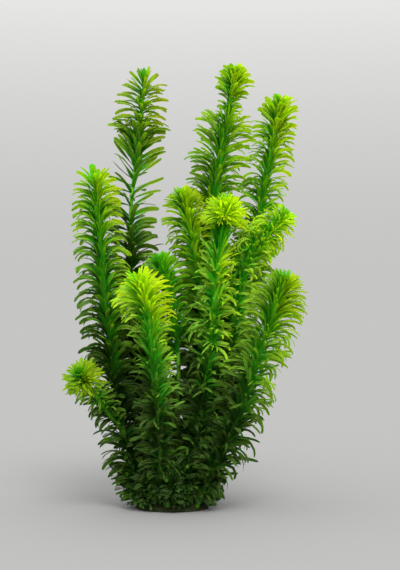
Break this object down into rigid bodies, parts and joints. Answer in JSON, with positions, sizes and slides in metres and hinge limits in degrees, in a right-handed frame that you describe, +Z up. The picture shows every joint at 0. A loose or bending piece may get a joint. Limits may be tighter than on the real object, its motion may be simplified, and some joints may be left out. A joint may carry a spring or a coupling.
{
  "type": "brazilian waterweed",
  "caption": "Clump of upright waterweed shoots with whorls of arching leaves, grown from one root crown that is cut flat to stand on.",
  "frame": {"origin": "middle of the root crown's flat cut, which the plant stands on", "axes": "+Z up along the shoots, +X to the right and +Y away from the viewer of the picture"},
  "size_m": [0.1755, 0.1295, 0.3405],
  "materials": {
    "yellow_green": "living leaf, yellow-green, soft sheen",
    "leaf_green": "living leaf, mid green, soft sheen",
    "deep_green": "living leaf, deep green, soft sheen",
    "crown_brown": "fibrous root crown, dull brown-green"
  },
  "bodies": {
    "root": {"root_crown": "crown_brown", "shoot_tall_left": "leaf_green", "shoot_tall_centre": "leaf_green", "shoot_tall_right": "leaf_green", "shoot_left": "leaf_green", "shoot_inner_centre": "deep_green", "shoot_yellow_crown": "yellow_green", "shoot_bent_right": "yellow_green", "shoot_green_centre": "deep_green", "shoot_front": "yellow_green", "shoot_low_right": "leaf_green", "shoot_back_left": "leaf_green", "shoot_back_right": "leaf_green", "side_shoot_low_left": "yellow_green"}
  },
  "joints": []
}
